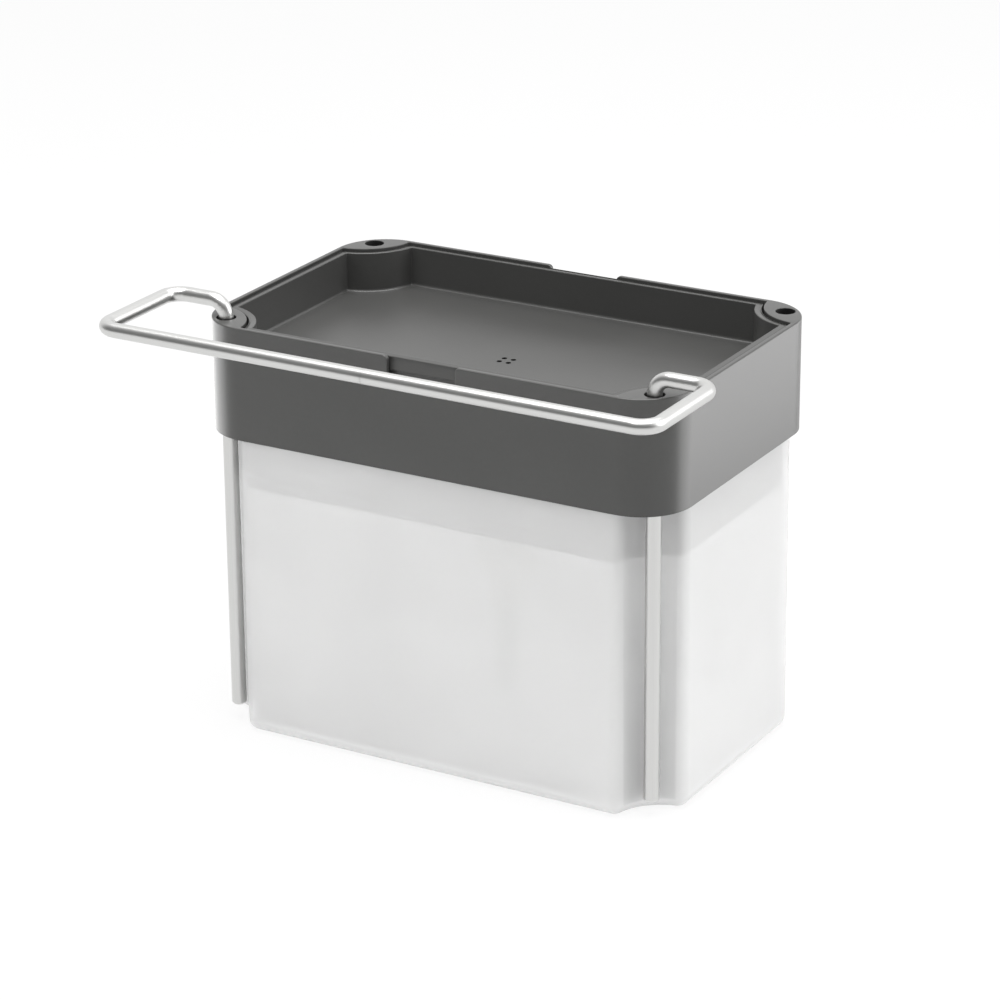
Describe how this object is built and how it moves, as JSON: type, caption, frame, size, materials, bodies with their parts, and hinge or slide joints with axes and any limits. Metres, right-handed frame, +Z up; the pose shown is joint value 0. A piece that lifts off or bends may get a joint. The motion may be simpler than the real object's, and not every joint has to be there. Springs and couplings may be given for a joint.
{
  "type": "soap pump caddy",
  "caption": "Counter-top soap dispenser: translucent tank, grey collar with a press-down sponge tray that pumps soap through small outlets, and a lift-out wire towel rail.",
  "frame": {"origin": "centre of the tank's flat base, on the counter", "axes": "+X along the long side, -Y towards the towel rail, +Z up"},
  "size_m": [0.1632, 0.117, 0.1214],
  "materials": {
    "frosted_tank": "frosted translucent",
    "grey_plastic": "satin moulded",
    "lid_plastic": "plain moulded",
    "pump_plastic": "plain moulded",
    "tube_plastic": "translucent",
    "silicone": "matte",
    "rail_steel": "satin stainless",
    "spring_steel": "drawn stainless"
  },
  "bodies": {
    "tank": {"tank": "frosted_tank"},
    "lid": {"collar": "grey_plastic", "deck": "lid_plastic", "lid_seal": "silicone", "pump_barrel": "pump_plastic", "barrel_gasket": "silicone", "lock_nut": "pump_plastic", "stem_guide": "pump_plastic", "ball_retainer": "pump_plastic", "dip_tube": "tube_plastic", "return_spring": "spring_steel"},
    "inlet_ball": {"inlet_ball": "spring_steel"},
    "plunger": {"piston_stem": "pump_plastic", "piston_carrier": "pump_plastic", "piston_seal": "silicone", "pump_head": "pump_plastic", "outlet_gasket": "silicone"},
    "outlet_ball": {"outlet_ball": "spring_steel"},
    "tray": {"tray": "grey_plastic"},
    "towel_rail": {"towel_rail": "rail_steel"}
  },
  "joints": [
    {"name": "lid_lift", "type": "slide", "parent": "tank", "child": "lid", "axis": [0, 0, 1], "range_m": [0, 0.1]},
    {"name": "pump_stroke", "type": "slide", "parent": "lid", "child": "plunger", "axis": [0, 0, -1], "range_m": [0, 0.008], "stiffness_N_per_m": 750, "springref_m": -0.0105, "deforming": ["return_spring"]},
    {"name": "tray_lift", "type": "slide", "parent": "plunger", "child": "tray", "axis": [0, 0, 1], "range_m": [0, 0.03]},
    {"name": "rail_lift", "type": "slide", "parent": "lid", "child": "towel_rail", "axis": [0, 0, 1], "range_m": [0, 0.115]},
    {"name": "inlet_valve", "type": "slide", "parent": "lid", "child": "inlet_ball", "axis": [0, 0, 1], "range_m": [0, 0.0012]},
    {"name": "outlet_valve", "type": "slide", "parent": "plunger", "child": "outlet_ball", "axis": [0, 0, 1], "range_m": [0, 0.001]}
  ]
}
